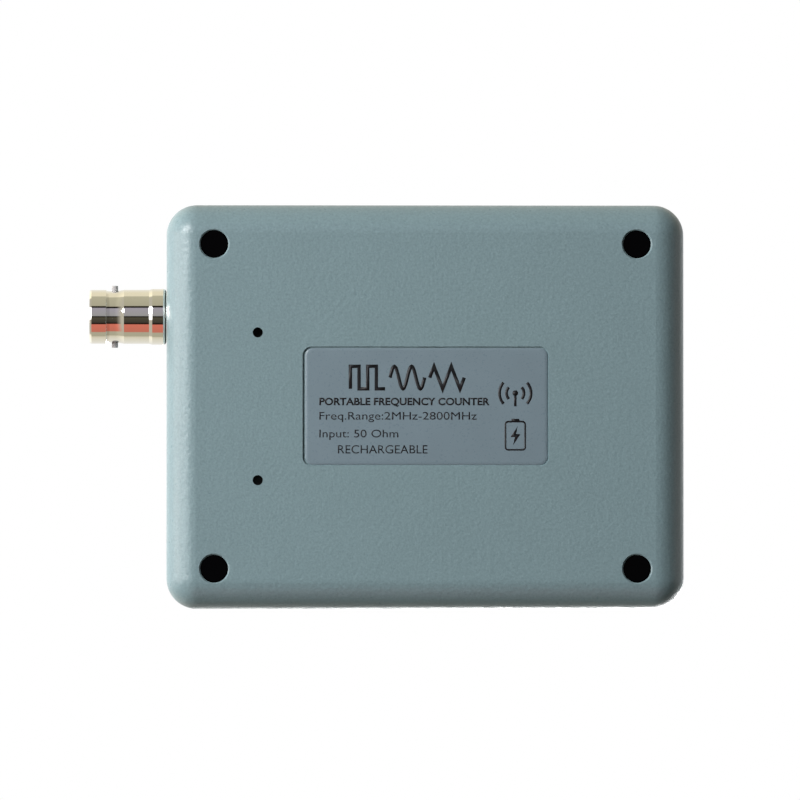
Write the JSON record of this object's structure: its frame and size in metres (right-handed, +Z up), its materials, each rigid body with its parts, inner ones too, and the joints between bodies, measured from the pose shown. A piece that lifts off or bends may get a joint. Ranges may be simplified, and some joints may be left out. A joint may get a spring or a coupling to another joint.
{
  "type": "frequency counter",
  "caption": "Pocket frequency counter: rounded two-part plastic case, coaxial bayonet input on one side, front display and keys, labelled back with plugged screws.",
  "frame": {"origin": "centre of the flat back, on the surface the counter lies on", "axes": "+Z up through the front face, +X to the user's right and along the input socket, +Y away from the user"},
  "size_m": [0.1058, 0.0718, 0.028],
  "materials": {
    "case_plastic": "fine matte texture",
    "screw_steel": "zinc plated",
    "plug_rubber": "matte",
    "label_film": "printed film",
    "overlay_film": "printed film with fine texture",
    "window_plastic": "clear",
    "clear_plastic": "clear",
    "key_red": "satin",
    "key_grey": "satin",
    "black_plastic": "satin",
    "switch_steel": "satin",
    "circuit_board": "solder mask",
    "display_glass": "clear",
    "polariser_film": "satin film",
    "light_guide": "milky",
    "led_resin": "clear",
    "contact_rubber": "matte",
    "pin_gold": "gold plated",
    "chip_resin": "matte",
    "oscillator_can": "satin",
    "shield_steel": "tin plated",
    "capacitor_can": "satin",
    "ferrite": "matte",
    "rotor_metal": "blackened",
    "trimmer_ceramic": "matte",
    "nickel": "polished nickel",
    "socket_insulator": "waxy white",
    "cell_foil": "foil pouch",
    "foam": "foam",
    "connector_white": "satin",
    "lead_red": "satin",
    "lead_black": "satin"
  },
  "bodies": {
    "case": {"rear_case": "case_plastic", "front_case": "case_plastic", "case_screws": "screw_steel", "screw_plugs": "plug_rubber", "rating_label": "label_film", "front_overlay": "overlay_film", "display_window": "window_plastic", "status_light_pipe": "clear_plastic", "key_switch_housings": "black_plastic", "key_switch_covers": "switch_steel", "display_board": "circuit_board", "display_board_screws": "screw_steel", "display_frame": "black_plastic", "display_glass": "display_glass", "display_polariser": "polariser_film", "backlight_guide": "light_guide", "backlight_leds": "led_resin", "zebra_strips": "contact_rubber", "status_led": "led_resin", "main_board": "circuit_board", "main_board_screws": "screw_steel", "board_header": "black_plastic", "board_socket": "black_plastic", "header_pins": "pin_gold", "microcontroller": "chip_resin", "prescaler_chip": "chip_resin", "input_amplifier": "chip_resin", "charger_chip": "chip_resin", "reference_oscillator": "oscillator_can", "shield_can": "shield_steel", "smoothing_capacitors": "capacitor_can", "power_inductor": "ferrite", "trimmer_base": "trimmer_ceramic", "reset_switch_base": "switch_steel", "charging_socket_shell": "shield_steel", "charging_socket_tongue": "black_plastic", "socket_shell": "nickel", "bayonet_studs": "nickel", "socket_insulator": "socket_insulator", "centre_contact": "pin_gold", "socket_ground_posts": "nickel", "battery_pouch": "cell_foil", "battery_protection_board": "circuit_board", "battery_pad": "foam", "battery_connector": "connector_white", "battery_plug": "connector_white", "battery_lead_plus": "lead_red", "battery_lead_minus": "lead_black"},
    "power_key": {"power_key": "key_red", "power_switch_plunger": "black_plastic"},
    "mode_key": {"mode_key": "key_grey", "mode_switch_plunger": "black_plastic"},
    "hold_key": {"hold_key": "key_grey", "hold_switch_plunger": "black_plastic"},
    "light_key": {"light_key": "key_grey", "light_switch_plunger": "black_plastic"},
    "reset_plunger": {"reset_plunger": "black_plastic"},
    "trimmer_rotor": {"trimmer_rotor": "rotor_metal"}
  },
  "joints": [
    {"name": "power_key_press", "type": "slide", "parent": "case", "child": "power_key", "axis": [0, 0, -1], "range_m": [0, 0.0005], "stiffness_N_per_m": 1200, "springref_m": -0.0005},
    {"name": "mode_key_press", "type": "slide", "parent": "case", "child": "mode_key", "axis": [0, 0, -1], "range_m": [0, 0.0005], "stiffness_N_per_m": 1200, "springref_m": -0.0005},
    {"name": "hold_key_press", "type": "slide", "parent": "case", "child": "hold_key", "axis": [0, 0, -1], "range_m": [0, 0.0005], "stiffness_N_per_m": 1200, "springref_m": -0.0005},
    {"name": "light_key_press", "type": "slide", "parent": "case", "child": "light_key", "axis": [0, 0, -1], "range_m": [0, 0.0005], "stiffness_N_per_m": 1200, "springref_m": -0.0005},
    {"name": "reset_press", "type": "slide", "parent": "case", "child": "reset_plunger", "axis": [0, 0, 1], "range_m": [0, 0.00025], "stiffness_N_per_m": 800, "springref_m": -0.0003},
    {"name": "trimmer_turn", "type": "hinge", "parent": "case", "child": "trimmer_rotor", "pos_m": [0.0298, 0.0131, 0.0045], "axis": [0, 0, 1], "continuous": true}
  ]
}
